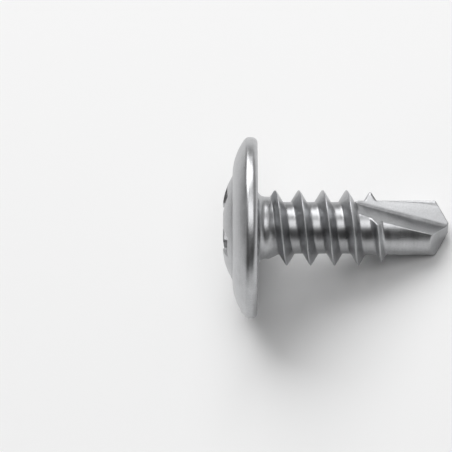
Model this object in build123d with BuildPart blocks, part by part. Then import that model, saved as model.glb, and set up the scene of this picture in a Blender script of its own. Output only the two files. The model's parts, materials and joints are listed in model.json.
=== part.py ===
from build123d import *
from math import acos, atan, atan2, ceil, cos, degrees, hypot, radians, sin, sqrt, tan
import os

# Self-drilling screw with a wafer head and a cross recess, one cold-forged piece of steel.
# It is modelled on its own axis, with the bearing face under the head at z = 0, the shank
# above it and the head below it, and is laid down at the end as it comes to rest.
# Lengths are in millimetres and angles in degrees.

# Head
head_diameter = 11.4
head_height = 2.25
crown_diameter = 6.5
crown_rise = 0.68
crown_flat_diameter = 3.0
crown_flat_rise = 0.08
rim_thickness = 0.7
rim_top_rounding = 0.3
rim_under_rounding = 0.35

# Cross recess, its widths taken at the height of the crown's top
recess_depth = 2.2
recess_span = 5.4
recess_wing_width = 1.5
recess_core_width = 2.9
recess_end_taper = 26.5
recess_side_taper = 5.5
recess_floor_angle = 28
recess_turn = 28

# Neck
neck_diameter = 3.93
neck_length = 0.7
neck_fillet = 0.5
neck_taper_length = 0.75

# Thread, right-handed with one start
thread_diameter = 4.8
root_diameter = 3.25
thread_pitch = 1.5
thread_angle = 60
crest_width = 0.06
thread_gap = 0.4  # from the neck's end to the first full crest
run_in_turns = 0.35
lead_thread_diameter = 4.3  # at the end of the last turn, beside the drill body
lead_turns = 1.0
run_out_turns = 0.35
ridge_sink = 0.15  # how far the ridge's foot reaches into the core

# Drill point with two slanted V flutes
shank_length = 12.0
drill_diameter = 3.42
drill_length = 5.65
drill_step_length = 0.25
point_angle = 120
lip_relief = 22
web_thickness = 0.7
flute_slant = 14.8
flute_angle = 130
lip_wall_tilt = 12.5

head_radius = head_diameter / 2
neck_radius = neck_diameter / 2
root_radius = root_diameter / 2
crest_radius = thread_diameter / 2
lead_radius = lead_thread_diameter / 2
drill_radius = drill_diameter / 2
neck_end = (neck_radius, neck_length)
drill_start = shank_length - drill_length
first_crest = neck_length + thread_gap
full_turns = (drill_start - first_crest) / thread_pitch
lead_end = full_turns + lead_turns
run_out_end = lead_end + run_out_turns
beyond = head_diameter  # how far a cutter reaches past the steel


# Head, neck, thread core and drill body in one turned outline
with BuildPart() as screw:
    with BuildSketch(Plane.XZ) as section:
        with BuildLine():
            crown_foot = (crown_diameter / 2, crown_rise - head_height)
            rim_top = (head_radius, -rim_thickness)
            crown_flat = TangentArc(
                (0, -head_height),
                (crown_flat_diameter / 2, crown_flat_rise - head_height),
                tangent=(1, 0),
            )
            TangentArc(crown_flat @ 1, crown_foot, tangent=crown_flat % 1)
            TangentArc(crown_foot, rim_top, tangent=(1, 0))
            FilletPolyline(
                rim_top,
                (head_radius, 0),
                (neck_radius, 0),
                neck_end,
                radius=[rim_under_rounding, neck_fillet],
            )
            Polyline(
                neck_end,
                (root_radius, neck_length + neck_taper_length),
                (root_radius, drill_start - drill_step_length),
                (drill_radius, drill_start),
                (drill_radius, shank_length),
                (0, shank_length),
                (0, -head_height),
            )
        make_face()
        rim_corner = section.vertices().sort_by_distance(rim_top)[0]
        fillet(rim_corner, rim_top_rounding)
    revolve(axis=Axis.Z)


# Cross recess: two tapered wings, a square core turned between them and a coned floor
def floor_width(top_width, taper):
    """The width at the recess's floor of what is this wide at its top."""
    return top_width - 2 * recess_depth * tan(radians(taper))


recess_top = Plane.XY.offset(-head_height)
recess_floor = Plane.XY.offset(recess_depth - head_height)
floor_span = floor_width(recess_span, recess_end_taper)
floor_wing_width = floor_width(recess_wing_width, recess_side_taper)
floor_core_width = floor_width(recess_core_width, recess_side_taper)
with BuildPart() as recess:
    for wing_turn in (recess_turn, recess_turn + 90):
        with BuildSketch(recess_top):
            Rectangle(recess_span, recess_wing_width, rotation=wing_turn)
        with BuildSketch(recess_floor):
            Rectangle(floor_span, floor_wing_width, rotation=wing_turn)
        loft()
    with BuildSketch(recess_top):
        Rectangle(recess_core_width, recess_core_width, rotation=recess_turn + 45)
    with BuildSketch(recess_floor):
        Rectangle(floor_core_width, floor_core_width, rotation=recess_turn + 45)
    loft()
    with Locations(recess_floor):
        cone_height = floor_core_width / 2 * tan(radians(recess_floor_angle))
        Cone(floor_core_width / 2, 0, cone_height, align=(Align.CENTER, Align.CENTER, Align.MIN))

with screw:
    add(recess.part, mode=Mode.SUBTRACT)


# Flute cutter: a V groove, its valley half the web from the axis and over it at the tip
slant = radians(flute_slant)
flute_frame = Plane(
    origin=(0, web_thickness / 2, shank_length),
    x_dir=(cos(slant), 0, sin(slant)),
    z_dir=(-sin(slant), 0, cos(slant)),
)
with BuildPart() as flute:
    with BuildSketch(flute_frame):
        with BuildLine():
            lip_wall = PolarLine((0, 0), beyond, -lip_wall_tilt)
            back_wall = PolarLine((0, 0), beyond, flute_angle - lip_wall_tilt)
            Polyline(lip_wall @ 1, (beyond, beyond), back_wall @ 1)
        make_face()
    extrude(amount=drill_length + thread_pitch / 2, both=True)


# Thread
def thread_ridge(first_turn, last_turn, first_radius, last_radius):
    """One stretch of the V ridge, in turns from the first full crest, and its crest's radii."""
    rise = (last_turn - first_turn) * thread_pitch
    cone_angle = atan((last_radius - first_radius) / rise)
    depth = crest_radius - root_radius + ridge_sink
    half_base = crest_width / 2 + depth * tan(radians(thread_angle / 2))
    with BuildPart() as ridge:
        with BuildLine() as crest:
            Helix(
                pitch=thread_pitch / cos(cone_angle),
                height=rise,
                radius=first_radius,
                cone_angle=degrees(cone_angle),
            )
        with BuildSketch(Plane.XZ):
            with BuildLine():
                Polyline(
                    (first_radius - depth, -half_base),
                    (first_radius, -crest_width / 2),
                    (first_radius, crest_width / 2),
                    (first_radius - depth, half_base),
                    close=True,
                )
            make_face()
        sweep(path=crest.line, is_frenet=True)
    height = first_crest + first_turn * thread_pitch
    return Pos(0, 0, height) * Rot(0, 0, 360 * first_turn) * ridge.part


# The flutes cut the thread's low last turn and fade out under the full thread
with screw:
    add(thread_ridge(full_turns, lead_end, crest_radius, lead_radius))
    add(thread_ridge(lead_end, run_out_end, lead_radius, root_radius))
    with PolarLocations(0, 2):
        add(flute.part, mode=Mode.SUBTRACT)
    add(thread_ridge(-run_in_turns, 0, root_radius, crest_radius))
    for turn in range(ceil(full_turns)):
        add(thread_ridge(turn, min(turn + 1, full_turns), crest_radius, crest_radius))


# Point: two flat flanks fall away behind the cutting lips and meet in a chisel edge
lip_fall = 1 / tan(radians(point_angle / 2))
flank_fall = tan(radians(lip_relief))
with screw:
    for side in (0, 180):
        outward = Vector(lip_fall, -flank_fall, 1).rotate(Axis.Z, side - lip_wall_tilt)
        split(bisect_by=Plane(origin=(0, 0, shank_length), z_dir=outward), keep=Keep.BOTTOM)


# Resting place: the screw lies on its rim and on the two outer corners of one flute
def on_drill_surface(vertex):
    """Is this corner on the drill body's outside?"""
    return abs(hypot(vertex.X, vertex.Y) - drill_radius) < crest_width / 10


def resting_down(lip_corner, heel_corner):
    """The direction of down when both corners and the head's rounded rim touch the floor."""
    across = heel_corner - lip_corner
    lean = 0.0  # slope of the axis
    for _ in range(20):
        turned = acos(-lean * across.Z / hypot(across.X, across.Y))
        roll = atan2(across.Y, across.X) - turned
        corner_drop = lip_corner.X * cos(roll) + lip_corner.Y * sin(roll)
        rim_drop = head_radius + rim_under_rounding * (sqrt(1 + lean**2) - 1)
        lean = (rim_drop - corner_drop) / (lip_corner.Z + rim_under_rounding)
    return Vector(cos(roll), sin(roll), lean)


tip_corners = screw.vertices().filter_by(on_drill_surface).sort_by(Axis.Z)[-4:]
heel_corner = tip_corners[:2].sort_by(Axis.Y)[0]
lip_corner = tip_corners[2:].sort_by(Axis.X)[0]
down = resting_down(Vector(*lip_corner), Vector(*heel_corner)).normalized()
floor = Plane(origin=(0, 0, 0), x_dir=Vector(0, 0, 1) - down * down.Z, z_dir=-down)
laid = floor.to_local_coords(screw.part)
box = laid.bounding_box()
laid = Pos(-box.center().X, -box.center().Y, -box.min.Z) * laid

os.makedirs("parts", exist_ok=True)
laid.label = "screw"
export_step(laid, "parts/screw.step")
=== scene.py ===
import json
from math import atan2, ceil, cos, hypot, pi, radians, sin, sqrt, tan

import bmesh
import bpy
import numpy as np
from mathutils import Matrix, Vector


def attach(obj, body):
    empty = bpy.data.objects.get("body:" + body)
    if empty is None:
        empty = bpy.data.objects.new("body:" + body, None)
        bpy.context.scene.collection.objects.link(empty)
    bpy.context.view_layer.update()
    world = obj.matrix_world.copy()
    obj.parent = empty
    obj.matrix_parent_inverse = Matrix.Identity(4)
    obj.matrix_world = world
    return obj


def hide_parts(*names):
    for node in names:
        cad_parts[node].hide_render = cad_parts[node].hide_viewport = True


# A self-drilling screw with a wafer head lies on a pale floor. Its surface is one fine mesh,
# built on the screw's own axis in millimetres: the bearing face under the head is at height 0,
# the drill point above it and the head below it. It is then laid into the frame.
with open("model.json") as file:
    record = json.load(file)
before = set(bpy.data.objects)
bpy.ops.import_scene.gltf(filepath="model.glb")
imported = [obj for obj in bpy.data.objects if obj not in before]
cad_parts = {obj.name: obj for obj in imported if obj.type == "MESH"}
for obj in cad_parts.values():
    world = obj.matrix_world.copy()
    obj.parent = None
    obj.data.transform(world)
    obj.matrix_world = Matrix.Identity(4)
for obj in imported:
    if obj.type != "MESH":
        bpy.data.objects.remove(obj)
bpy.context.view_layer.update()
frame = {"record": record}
millimetre = 0.001

# Head
head_diameter = 11.4
head_height = 2.25
crown_diameter = 6.5
crown_rise = 0.68
crown_flat_diameter = 3.0
crown_flat_rise = 0.08
rim_thickness = 0.7
rim_top_rounding = 0.3
rim_under_rounding = 0.35

# Cross recess, its widths taken at the height of the crown's top
recess_depth = 2.2
recess_span = 5.4
recess_wing_width = 1.5
recess_core_width = 2.9
recess_end_taper = radians(26.5)
recess_side_taper = radians(5.5)
recess_floor_angle = radians(28)
recess_turn = radians(28)

# Neck and thread
neck_diameter = 3.93
neck_length = 0.7
neck_fillet = 0.5
neck_taper_length = 0.75
thread_diameter = 4.8
root_diameter = 3.25
thread_pitch = 1.5
flank_angle = radians(30)
crest_width = 0.06
thread_gap = 0.4  # from the neck's end to the first full crest
run_in_turns = 0.35
lead_thread_diameter = 4.3  # at the end of the last turn, beside the drill body
lead_turns = 1.0
run_out_turns = 0.35

# Drill point with two slanted V flutes
shank_length = 12.0
drill_diameter = 3.42
drill_length = 5.65
drill_step_length = 0.25
point_half_angle = radians(60)
lip_relief = radians(22)
web_thickness = 0.7
flute_slant = radians(14.8)
flute_angle = radians(130)
lip_wall_tilt = radians(12.5)

# Roundness of corners and edges
root_softness = 0.09
flute_softness = 0.05
valley_softness = 0.2
crest_softness = 0.045
recess_softness = 0.07
recess_rounding = 0.1
crown_rounding = 0.05
point_rounding = 0.06
point_flank_share = 0.06  # of the way to the tip, where the rounding of the point's edge ends
recess_floor_share = 0.9  # of the floor's reach, where the rounding at its foot starts

# Rest: the turn about the axis from the screw's own x direction up to the frame's upright
turn_at_rest = radians(54.939)

head_radius = head_diameter / 2
neck_radius = neck_diameter / 2
root_radius = root_diameter / 2
crest_radius = thread_diameter / 2
lead_radius = lead_thread_diameter / 2
drill_radius = drill_diameter / 2
recess_floor = recess_depth - head_height
drill_start = shank_length - drill_length
first_crest = neck_length + thread_gap
full_turns = (drill_start - first_crest) / thread_pitch
lead_end = full_turns + lead_turns
run_out_end = lead_end + run_out_turns
thread_zone_end = first_crest + run_out_end * thread_pitch

# Mesh: columns run along the screw, rows run round it from the recess's floor to the drill's tip
columns = 256
quarter_columns = columns // 4
half_columns = columns // 2
column_turn = recess_turn + np.arange(columns) / columns * 2 * pi
wing_stops = (0.0, 0.3, 0.68, 1.0)  # shares of an eighth's columns to a wing's and the core's corner
lip_column = -13  # where the first flute's lip edge comes to lie
chisel_columns = 8  # from a flute's lip edge to the chisel edge
valley_columns = 16  # from a flute's lip edge to its valley
heel_columns = 50  # from a flute's lip edge to its heel edge
bend_start = 3.5  # the height from which the columns bend towards the flutes' edges
bend_end = 6.4  # the height from which they run along them
recess_floor_rows = 12
recess_wall_rows = 16
crown_row_count = 15
drill_side_rows = 76
point_flank_rows = 17
crest_asides = np.array([0.02, 0.045, 0.08, 0.14, 0.22, 0.3, 0.38, 0.43, 0.465, 0.5, 0.54, 0.63])
thread_asides = np.concatenate([-crest_asides[::-1], [0.0], crest_asides, [thread_pitch / 2]])
dome_gap = 0.05  # at least this much between the dome's last ring and the rim's rounding
settling_rounds = 20  # for a row whose heights and turns depend on each other
merge_distance = 1e-4
tiny = 1e-6  # keeps a division off zero


# Rows: a row is its points' turns about the axis, their radii and their heights
def ring(radius, height):
    """A row that is a circle about the axis."""
    return column_turn, np.full(columns, radius), np.full(columns, height)


def between(first, last, share):
    """The row at this share of the way from one row to another."""
    return tuple(a + share * (b - a) for a, b in zip(first, last))


def rounded(first, corner, last, count=7):
    """Rows from one row to another, bent round the row where sharp walls would meet."""
    shares = np.linspace(0, 1, count)
    return [between(between(first, corner, s), between(corner, last, s), s) for s in shares]


def stretched(place, stops, turns):
    """Turns at these places of the columns, in even steps from one stop to the next."""
    turn = turns[0]
    for i in range(len(stops) - 1):
        share = np.clip((place - stops[i]) / (stops[i + 1] - stops[i]), 0, 1)
        turn = turn + share * (turns[i + 1] - turns[i])
    return turn


def soft_max(a, b, softness):
    """The larger value, with the corner between the two rounded outward."""
    blend = np.maximum(softness - np.abs(a - b), 0) / softness
    return np.maximum(a, b) + blend**2 * softness / 4


def soft_min(a, b, softness):
    """The smaller value, with the corner between the two rounded inward."""
    return -soft_max(-a, -b, softness)


# Outline of the head, as (radius, height) points
def arc(centre, radius, first, last, count):
    """Points on an arc about a centre, with angles in degrees from the outward radius."""
    turns = np.radians(np.linspace(first, last, count))
    return [(centre[0] + radius * cos(t), centre[1] + radius * sin(t)) for t in turns]


def rising_arc(start, end, start_slope, count):
    """Points on the arc that leaves start at this slope angle and ends at end."""
    run, rise = end[0] - start[0], end[1] - start[1]
    bend = 2 * (atan2(rise, run) - start_slope)
    radius = hypot(run, rise) / 2 / sin(bend / 2)
    centre = (start[0] - radius * sin(start_slope), start[1] + radius * cos(start_slope))
    first = np.degrees(start_slope) - 90
    return arc(centre, radius, first, first + np.degrees(bend), count)


def end_slope(start, end, start_slope):
    """The slope angle at the end of a rising arc."""
    return 2 * atan2(end[1] - start[1], end[0] - start[0]) - start_slope


crown_top = (0.0, -head_height)
crown_shoulder = (crown_flat_diameter / 2, crown_flat_rise - head_height)
crown_foot = (crown_diameter / 2, crown_rise - head_height)
rim_top = (head_radius, -rim_thickness)
shoulder_slope = end_slope(crown_top, crown_shoulder, 0)
crown_outline = np.array(
    rising_arc(crown_top, crown_shoulder, 0, count=20)
    + rising_arc(crown_shoulder, crown_foot, shoulder_slope, count=30)[1:]
)


def crown_height(radius):
    """Height of the crown's surface at this radius."""
    return np.interp(radius, crown_outline[:, 0], crown_outline[:, 1])


def dome_outline():
    """Points from the crown's foot over the dome and round the rim's upper edge."""
    dome = np.array(rising_arc(crown_foot, rim_top, 0, count=26))
    slope = np.gradient(dome[:, 1], dome[:, 0])
    inward = rim_top_rounding / np.sqrt(1 + slope**2)
    offset = dome + np.stack([-slope * inward, inward], axis=1)
    centre_radius = head_radius - rim_top_rounding
    centre = (centre_radius, np.interp(centre_radius, offset[:, 0], offset[:, 1]))
    touch = np.interp(centre_radius, offset[:, 0], dome[:, 0])
    touch_turn = -np.degrees(np.arccos((touch - centre_radius) / rim_top_rounding))
    before = [tuple(point) for point in dome if point[0] < touch - dome_gap]
    return before + arc(centre, rim_top_rounding, touch_turn, 0, count=9)


seat_edge = head_radius - rim_under_rounding
seat_start = neck_radius + neck_fillet
head_outline = (
    dome_outline()
    + arc((seat_edge, -rim_under_rounding), rim_under_rounding, 0, 90, count=10)
    + [(radius, 0.0) for radius in np.linspace(seat_edge, seat_start, 8)[1:-1]]
    + arc((seat_start, neck_fillet), neck_fillet, 270, 180, count=10)
)


# Cross recess
def recess_wall(height):
    """The recess's wall as a row, at a height for each column.

    In every eighth of a turn the columns meet the wing's corner and the core's corner."""
    depth = height + head_height
    half_span = recess_span / 2 - depth * tan(recess_end_taper)
    half_width = recess_wing_width / 2 - depth * tan(recess_side_taper)
    half_core = recess_core_width / 2 - depth * tan(recess_side_taper)
    wing_corner = np.arctan2(half_width, half_span)
    core_corner = np.arctan2(half_width * sqrt(0.5), half_core - half_width * sqrt(0.5))
    place = np.arange(columns) % quarter_columns / (quarter_columns / 2)
    mirrored = place > 1
    place = np.where(mirrored, 2 - place, place)
    turns = (0, wing_corner, core_corner, pi / 4)
    turn = stretched(place, wing_stops, turns)
    end_wall = half_span / np.cos(turn)
    side_wall = half_width / np.maximum(np.sin(turn), tiny)
    core_wall = np.minimum(half_core / np.cos(pi / 4 - turn), end_wall)
    reach = soft_max(soft_min(end_wall, side_wall, recess_softness), core_wall, recess_softness)
    quarter = np.arange(columns) // quarter_columns * pi / 2
    turn = np.where(mirrored, pi / 2 - turn, turn)
    return quarter + turn + recess_turn, reach, height


def recess_floor_part(foot):
    """Rows from the middle of the recess's coned floor out towards its foot."""
    cone_radius = recess_core_width / 2 - recess_depth * tan(recess_side_taper)
    rows = []
    for share in np.linspace(0, recess_floor_share, recess_floor_rows):
        radius = share * foot[1]
        drop = np.maximum(cone_radius - radius, 0) * tan(recess_floor_angle)
        rows.append((foot[0], radius, recess_floor + drop))
    return rows


def recess_mouth():
    """The row where the recess's wall comes out of the crown."""
    height = np.full(columns, crown_shoulder[1])
    for _ in range(settling_rounds):
        height = crown_height(recess_wall(height)[1])
    return recess_wall(height)


def crown_part(mouth):
    """Rows from beside the recess's mouth over the crown, to just before its foot."""
    start = mouth[1] + recess_rounding
    rows = []
    for share in np.linspace(0, 1, crown_row_count):
        radius = start + share * (crown_foot[0] - crown_rounding - start)
        turn = mouth[0] + share * (column_turn - mouth[0])
        rows.append((turn, radius, crown_height(radius)))
    return rows


def recess_rows():
    """Rows from the middle of the recess's floor up its walls and over the crown to its foot."""
    foot = recess_wall(np.full(columns, recess_floor))
    mouth = recess_mouth()
    wall_start = foot[2] - recess_rounding
    wall_end = mouth[2] + recess_rounding
    rows = recess_floor_part(foot)
    rows += rounded(rows.pop(), foot, recess_wall(wall_start))
    for share in np.linspace(0, 1, recess_wall_rows)[1:-1]:
        rows.append(recess_wall(wall_start + share * (wall_end - wall_start)))
    crown = crown_part(mouth)
    return rows + rounded(recess_wall(wall_end), mouth, crown[0]) + crown[1:]


# Shank. A flute's two flat walls are given by their directions into the steel, seen along the
# flute: across the screw and upward
back_wall_turn = flute_angle - lip_wall_tilt
lip_wall = (-sin(lip_wall_tilt), -cos(lip_wall_tilt))
back_wall = (-sin(back_wall_turn), cos(back_wall_turn))


def core_radius(height):
    """Radius of the neck, the thread's core and the drill body, without the flutes."""
    taper_end = neck_length + neck_taper_length
    stops = (neck_length, taper_end, drill_start - drill_step_length, drill_start)
    return np.interp(height, stops, (neck_radius, root_radius, root_radius, drill_radius))


def ridge_radius(turn, height, full):
    """Radius of the thread's V ridge: its full stretch, or the low stretch that follows."""
    nearest = np.round((height - first_crest) / thread_pitch - turn / (2 * pi)) + turn / (2 * pi)
    aside = np.abs(height - first_crest - nearest * thread_pitch)
    if full:
        stops = (-run_in_turns, 0, full_turns)
        crest = np.interp(nearest, stops, (root_radius, crest_radius, crest_radius))
        present = (nearest >= -run_in_turns) & (nearest < full_turns)
    else:
        stops = (full_turns, lead_end, run_out_end)
        crest = np.interp(nearest, stops, (crest_radius, lead_radius, root_radius))
        present = (nearest >= full_turns) & (nearest <= run_out_end)
    drop = (np.sqrt(aside**2 + crest_softness**2) - crest_width / 2) / tan(flank_angle)
    return np.where(present, crest - drop, 0)


def wall_depth(wall, height):
    """How deep in the steel the axis lies behind a flute's wall at this height."""
    across, upward = wall
    return across * (height - shank_length) * sin(flute_slant) - upward * web_thickness / 2


def flute_radius(turn, height, side):
    """How far the steel reaches from the axis before the flute on this side cuts it off."""
    turn = turn - side
    reach = []
    for wall in (lip_wall, back_wall):
        across, upward = wall
        approach = -(across * np.cos(turn) * cos(flute_slant) + upward * np.sin(turn))
        reach.append(wall_depth(wall, height) / np.maximum(approach, tiny))
    return soft_max(reach[0], reach[1], valley_softness)


def shank_radius(turn, height):
    """Radius of the finished shank's side."""
    radius = soft_max(core_radius(height), ridge_radius(turn, height, False), root_softness)
    for side in (0, pi):
        radius = soft_min(radius, flute_radius(turn, height, side), flute_softness)
    return soft_max(radius, ridge_radius(turn, height, True), root_softness)


# Rows of the shank, whose columns bend along the flutes' edges and valleys
def wall_edge(wall, height, side):
    """Turn at which a flute's wall comes out of the drill body, at its edge on side 1 or -1."""
    across, upward = wall[0] * cos(flute_slant), wall[1]
    reach = -wall_depth(wall, height) / drill_radius / hypot(across, upward)
    return atan2(upward, across) + side * np.arccos(np.clip(reach, -1, 1))


lip_at_tip = wall_edge(lip_wall, shank_length, 1)
chisel_turn = atan2(1 / tan(point_half_angle), tan(lip_relief)) - lip_wall_tilt
chisel_share = (chisel_turn - lip_at_tip) / (pi / 2 - lip_at_tip)


def bent_turn(height):
    """Each column's turn about the axis at its height."""
    share = np.clip((height - bend_start) / (bend_end - bend_start), 0, 1)
    bend = share**2 * (3 - 2 * share)
    height = np.maximum(height, bend_end)
    lip = wall_edge(lip_wall, height, 1)
    heel = wall_edge(back_wall, height, -1) + 2 * pi
    valley = np.arctan2(web_thickness / 2, (shank_length - height) * tan(flute_slant))
    chisel = lip + chisel_share * (valley - lip)
    place = np.arange(columns) - lip_column
    stops = (0, chisel_columns, valley_columns, heel_columns, half_columns)
    turn = stretched(place % half_columns, stops, (lip, chisel, valley, heel, lip + pi))
    turn = turn + place // half_columns * pi
    return column_turn + bend * (turn - column_turn)


def thread_row(turn_number, aside):
    """The row at this distance beside the crest of one of the thread's turns.

    Where it would pass an end of the thread it lies on that end's ring and merges with it."""
    turn = column_turn
    for _ in range(settling_rounds):
        height = first_crest + (turn_number + turn / (2 * pi)) * thread_pitch + aside
        height = np.clip(height, neck_length, thread_zone_end)
        turn = bent_turn(height)
    return turn, shank_radius(turn, height), height


def thread_rows():
    """Rows that follow the thread, so that its crests and roots lie along the mesh."""
    turn_numbers = range(-ceil(run_in_turns) - 1, ceil(run_out_end) + 1)
    return [thread_row(number, aside) for number in turn_numbers for aside in thread_asides]


def point_fall(turn):
    """How steeply the point's two flat flanks fall away from the tip."""
    turn = turn + lip_wall_tilt
    return np.abs(np.cos(turn) / tan(point_half_angle) - tan(lip_relief) * np.sin(turn))


def point_edge():
    """The row where the drill body's side meets the point's flanks."""
    height = np.full(columns, shank_length)
    for _ in range(settling_rounds):
        turn = bent_turn(height)
        radius = shank_radius(turn, height)
        height = shank_length - point_fall(turn) * radius
    return turn, radius, height


def drill_rows():
    """Rows of the drill body's side, then of the point's flanks up to the tip."""
    edge = point_edge()
    rows = []
    for share in np.linspace(0, 1, drill_side_rows)[1:]:
        height = thread_zone_end + share * (edge[2] - point_rounding - thread_zone_end)
        turn = bent_turn(height)
        rows.append((turn, shank_radius(turn, height), height))
    tip = (edge[0], np.zeros(columns), np.full(columns, shank_length))
    flank_start = between(edge, tip, point_flank_share)
    rows += rounded(rows.pop(), edge, flank_start, count=5)
    for share in 1 - np.linspace(0, 1, point_flank_rows)[1:]:
        radius = share * flank_start[1]
        rows.append((edge[0], radius, shank_length - point_fall(edge[0]) * radius))
    return rows


# Place in the frame
def resting_matrix():
    """From millimetres on the screw's own axis to metres in the frame."""
    mounts = {mount["name"]: mount for mount in frame["record"]["mounts"]}
    along = Vector(mounts["bearing_face"]["axis"]).normalized()
    upright = (Vector((0, 0, 1)) - along * along.z).normalized()
    sideways = along.cross(upright)
    x_axis = upright * cos(turn_at_rest) - sideways * sin(turn_at_rest)
    turned = Matrix((x_axis, along.cross(x_axis), along)).transposed()
    place = Matrix.Translation(Vector(mounts["bearing_face"]["pos_m"]))
    return place @ turned.to_4x4() @ Matrix.Scale(millimetre, 4)


resting = resting_matrix()

# Painted shade: the steel's colour is darkened in hollows where shade would fall, most in the corner
# round the crown
open_shade = 0.6  # painted shade at the bottom of the recess, the thread and the flutes
# width of the painted dark line of shade round the crown's foot
crown_shade_width = 0.14


def painted_shade_of(radius, height):
    """How much painted shade a point gets: 0 on open surfaces, 1 in the corner round the crown."""
    thread_depth = crest_radius - root_radius
    stops = (neck_length, first_crest, drill_start, thread_zone_end)
    outside = np.interp(height, stops, (neck_radius, crest_radius, crest_radius, drill_radius))
    below_outside = np.clip((outside - radius) / thread_depth, 0, 1)
    in_recess = np.clip((height + head_height - crown_rise) / (recess_depth - crown_rise), 0, 1)
    beside_crown = 1 - np.abs(radius - crown_foot[0]) / crown_shade_width
    in_head = np.where(radius < recess_span / 2, in_recess * open_shade, np.maximum(beside_crown, 0))
    return np.where(height < 0, in_head, below_outside * open_shade * (height > neck_length))


# The screw's mesh
def add_vertices(bm, row):
    """A row's vertices, each with its painted shade."""
    turn, radius, height = row
    painted_shade = bm.verts.layers.float["painted_shade"]
    vertices = []
    points = zip(radius * np.cos(turn), radius * np.sin(turn), height, painted_shade_of(radius, height))
    for x, y, z, shade in points:
        vertex = bm.verts.new((x, y, z))
        vertex[painted_shade] = shade
        vertices.append(vertex)
    return vertices


def add_faces(bm, lower, upper):
    """The faces between two rows, each of which ends with the vertex that closes it."""
    for j in range(columns):
        corners = dict.fromkeys((lower[j], lower[j + 1], upper[j + 1], upper[j]))
        bm.faces.new(tuple(corners))


def screw_mesh():
    """The screw's whole surface as one closed mesh.

    In the thread a row climbs by one pitch in a turn, so it is closed by the row a turn further."""
    rows = recess_rows()
    rows += rounded(rows.pop(), ring(*crown_foot), ring(*head_outline[1]), count=5)
    rows += [ring(*point) for point in head_outline[2:]]
    first_thread_row = len(rows)
    rows += thread_rows()
    last_thread_row = len(rows) - 1
    rows += drill_rows()
    bm = bmesh.new()
    # a layer that carries each vertex's painted shade
    bm.verts.layers.float.new("painted_shade")
    grid = [add_vertices(bm, row) for row in rows]
    for i in range(len(grid) - 1):
        closing = [i, i + 1]
        if first_thread_row <= i < last_thread_row:
            closing = [min(k + len(thread_asides), last_thread_row) for k in closing]
        add_faces(bm, grid[i] + [grid[closing[0]][0]], grid[i + 1] + [grid[closing[1]][0]])
    bmesh.ops.remove_doubles(bm, verts=bm.verts, dist=merge_distance)
    bmesh.ops.recalc_face_normals(bm, faces=bm.faces)
    bmesh.ops.transform(bm, matrix=resting, verts=bm.verts)
    mesh = bpy.data.meshes.new("screw_steel")
    bm.to_mesh(mesh)
    bm.free()
    mesh.shade_smooth()
    return mesh


# Materials
class Shader:
    """Adds nodes to a material and links them by socket name."""

    def __init__(self, name):
        self.material = bpy.data.materials.new(name)
        self.material.use_nodes = True
        self.tree = self.material.node_tree
        self.surface = self.tree.nodes["Principled BSDF"]

    def node(self, kind, inputs=(), **settings):
        """A node with its settings; inputs are pairs of a socket and a value or another socket."""
        node = self.tree.nodes.new(kind)
        for name, value in settings.items():
            setattr(node, name, value)
        for socket, value in inputs:
            if isinstance(value, bpy.types.NodeSocket):
                self.tree.links.new(value, node.inputs[socket])
            else:
                node.inputs[socket].default_value = value
        return node

    def math(self, operation, *values):
        """A math node's result."""
        return self.node("ShaderNodeMath", enumerate(values), operation=operation).outputs[0]

    def noise(self, place, scale, detail, w=None):
        """Noise at this place, in three dimensions or, with w, in four."""
        inputs = [("Vector", place), ("Scale", scale), ("Detail", detail)]
        if w is not None:
            inputs.append(("W", w))
        dimensions = "3D" if w is None else "4D"
        return self.node("ShaderNodeTexNoise", inputs, noise_dimensions=dimensions).outputs[0]

    def span(self, value, wanted, given=(0.0, 1.0)):
        """The value, moved from the given range to the wanted one."""
        inputs = enumerate((value, *given, *wanted))
        return self.node("ShaderNodeMapRange", inputs).outputs[0]


# Zinc-plated steel
steel_colour = (0.5, 0.505, 0.515, 1.0)
marks_per_millimetre = 8.0
grain_scale = 11.0
cloud_scale = 1.1
noise_range = (0.3, 0.7)  # where most of the noise's values lie
cloud_range = (0.35, 0.65)
cloud_tone = (0.88, 1.08)
mark_tone = (0.93, 1.06)
grain_tone = (0.93, 1.07)
# painted shade: how much the colour darkens, from open surfaces to the corner round the crown
painted_shade_tone = (1.0, 0.66)
mark_roughness = (0.26, 0.36)
cloud_roughness = (0.0, 0.06)
relief_height = 0.02 * millimetre
relief_strength = 0.3


def steel_patterns(shader):
    """Marks round the screw's axis, fine grain and broad clouds, on the screw's own axis."""
    to_screw = resting.inverted()
    body = shader.node("ShaderNodeMapping", [
        ("Vector", shader.node("ShaderNodeTexCoord").outputs["Object"]),
        ("Location", to_screw.translation),
        ("Rotation", to_screw.to_3x3().normalized().to_euler()),
        ("Scale", (1 / millimetre,) * 3),
    ]).outputs[0]
    x, y, z = shader.node("ShaderNodeSeparateXYZ", [(0, body)]).outputs
    squares = shader.math("ADD", shader.math("MULTIPLY", x, x), shader.math("MULTIPLY", y, y))
    radius = shader.math("SQRT", squares)
    around = shader.node("ShaderNodeCombineXYZ", [
        (0, shader.math("DIVIDE", x, radius)),
        (1, shader.math("DIVIDE", y, radius)),
        (2, shader.math("MULTIPLY", z, marks_per_millimetre)),
    ]).outputs[0]
    outward = shader.math("MULTIPLY", radius, marks_per_millimetre)
    marks = shader.noise(around, scale=1.0, detail=5.0, w=outward)
    grain = shader.noise(body, grain_scale, detail=3.0)
    clouds = shader.noise(body, cloud_scale, detail=4.0)
    return marks, grain, clouds


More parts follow.
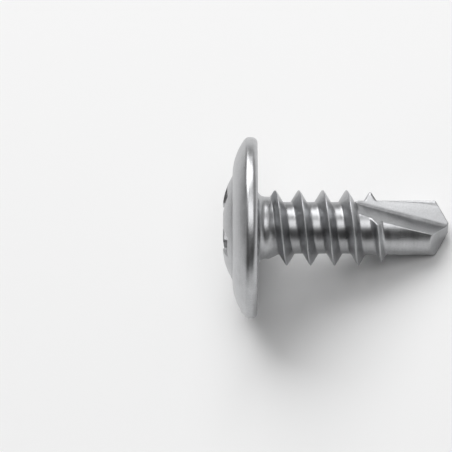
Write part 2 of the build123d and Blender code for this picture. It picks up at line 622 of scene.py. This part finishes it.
def zinc_steel():
    """Bright zinc over forged and rolled steel: cloudy, finely grained, with painted shade darkening
    it in hollows.
    """
    shader = Shader("zinc_steel")
    marks, grain, clouds = steel_patterns(shader)
    # Painted shade: the colour darkens by the shade stored on the mesh, in hollows and round the
    # crown.
    painted_shade = shader.node("ShaderNodeAttribute", attribute_name="painted_shade").outputs["Fac"]
    tone = shader.math(
        "MULTIPLY", shader.span(clouds, cloud_tone, noise_range), shader.span(painted_shade, painted_shade_tone)
    )
    tone = shader.math("MULTIPLY", tone, shader.span(marks, mark_tone, noise_range))
    tone = shader.math("MULTIPLY", tone, shader.span(grain, grain_tone, noise_range))
    colour = shader.node("ShaderNodeMix", [
        ("Factor", 1.0), (6, steel_colour), (7, tone),
    ], data_type="RGBA", blend_type="MULTIPLY").outputs[2]
    roughness = shader.math(
        "ADD",
        shader.span(marks, mark_roughness, noise_range),
        shader.span(clouds, cloud_roughness, cloud_range),
    )
    half_marks = shader.math("MULTIPLY", marks, 0.5)
    half_grain = shader.math("MULTIPLY", grain, 0.5)
    bump = shader.node("ShaderNodeBump", [
        ("Strength", relief_strength),
        ("Distance", relief_height),
        ("Height", shader.math("ADD", half_marks, half_grain)),
    ]).outputs[0]
    shader.surface.inputs["Metallic"].default_value = 1.0
    for socket, value in (("Base Color", colour), ("Roughness", roughness), ("Normal", bump)):
        shader.tree.links.new(value, shader.surface.inputs[socket])
    return shader.material


def pale_floor():
    """Plain matt material of the floor."""
    shader = Shader("pale_floor")
    shader.surface.inputs["Base Color"].default_value = (0.9, 0.9, 0.9, 1.0)
    shader.surface.inputs["Roughness"].default_value = 0.8
    shader.surface.inputs["Specular IOR Level"].default_value = 0.2
    return shader.material


# The screw and the floor
def shown(name, data):
    """A new object in the scene."""
    new_object = bpy.data.objects.new(name, data)
    bpy.context.scene.collection.objects.link(new_object)
    return new_object


screw = shown("screw_steel", screw_mesh())
screw.data.materials.append(zinc_steel())
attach(screw, "root")
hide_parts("screw")

floor_reach = 1.5  # metres from the middle to each side
floor_corners = [
    (-floor_reach, -floor_reach, 0.0),
    (floor_reach, -floor_reach, 0.0),
    (floor_reach, floor_reach, 0.0),
    (-floor_reach, floor_reach, 0.0),
]
floor_mesh = bpy.data.meshes.new("floor")
floor_mesh.from_pydata(floor_corners, [], [(0, 1, 2, 3)])
floor_mesh.materials.append(pale_floor())
shown("floor", floor_mesh)

# Camera: square to the screw's axis, at the picture's scale and framing
picture_width = 452
pixels_per_millimetre = 15.9
tip_room = 0.5  # millimetres that the view is moved along the screw, to take in the whole tip
view_centre = Vector((0.113, 0.0, -2.472 + tip_room))  # in millimetres on the screw's own axis
picture_up, to_viewer, picture_right = (resting.col[i].to_3d().normalized() for i in range(3))
camera_data = bpy.data.cameras.new("camera")
camera_data.lens = 300.0
view_width = picture_width / pixels_per_millimetre * millimetre
view_distance = view_width * camera_data.lens / camera_data.sensor_width
camera_data.clip_start = view_distance / 100
camera_data.clip_end = 10.0
facing = Matrix((picture_right, picture_up, to_viewer)).transposed().to_4x4()
camera = shown("camera", camera_data)
camera.matrix_world = Matrix.Translation(resting @ view_centre + to_viewer * view_distance) @ facing
bpy.context.scene.camera = camera


# Light
def soft_box(name, direction, distance, width, height, radiance):
    """An area lamp that faces the screw from this direction, its height along the picture's."""
    data = bpy.data.lights.new(name, "AREA")
    data.shape = "RECTANGLE"
    data.size = width
    data.size_y = height
    data.energy = radiance * pi * width * height
    back = direction.normalized()
    side = picture_up.cross(back).normalized()
    turned = Matrix((side, back.cross(side), back)).transposed().to_4x4()
    shown(name, data).matrix_world = Matrix.Translation(back * distance) @ turned


def studio(darkest, dim_from, dim_to, dim, bright):
    """The world: a studio that is lit all round but dim towards one side."""
    world = bpy.data.worlds.new("studio")
    world.use_nodes = True
    nodes, links = world.node_tree.nodes, world.node_tree.links
    place = nodes.new("ShaderNodeTexCoord")
    side = nodes.new("ShaderNodeVectorMath")
    side.operation = "DOT_PRODUCT"
    side.inputs[1].default_value = darkest.normalized()
    grade = nodes.new("ShaderNodeMapRange")
    grade.interpolation_type = "SMOOTHSTEP"
    grade.inputs["From Min"].default_value = dim_from
    grade.inputs["From Max"].default_value = dim_to
    grade.inputs["To Min"].default_value = bright
    grade.inputs["To Max"].default_value = dim
    links.new(place.outputs["Generated"], side.inputs[0])
    links.new(side.outputs["Value"], grade.inputs["Value"])
    links.new(grade.outputs["Result"], nodes["Background"].inputs["Color"])
    return world


soft_box(
    "key",
    direction=picture_up * 0.85 + to_viewer * 0.25 - picture_right * 0.3,
    distance=0.4,
    width=0.36,
    height=0.36,
    radiance=3.3,
)
soft_box(
    "front",
    direction=picture_up * 0.34 + to_viewer + picture_right * 0.02,
    distance=0.45,
    width=0.24,
    height=0.26,
    radiance=2.3,
)
bpy.context.scene.world = studio(
    darkest=to_viewer * 0.82 - picture_up * 0.57, dim_from=0.3, dim_to=0.95, dim=0.03, bright=0.34
)
bpy.context.scene.view_settings.view_transform = "Standard"
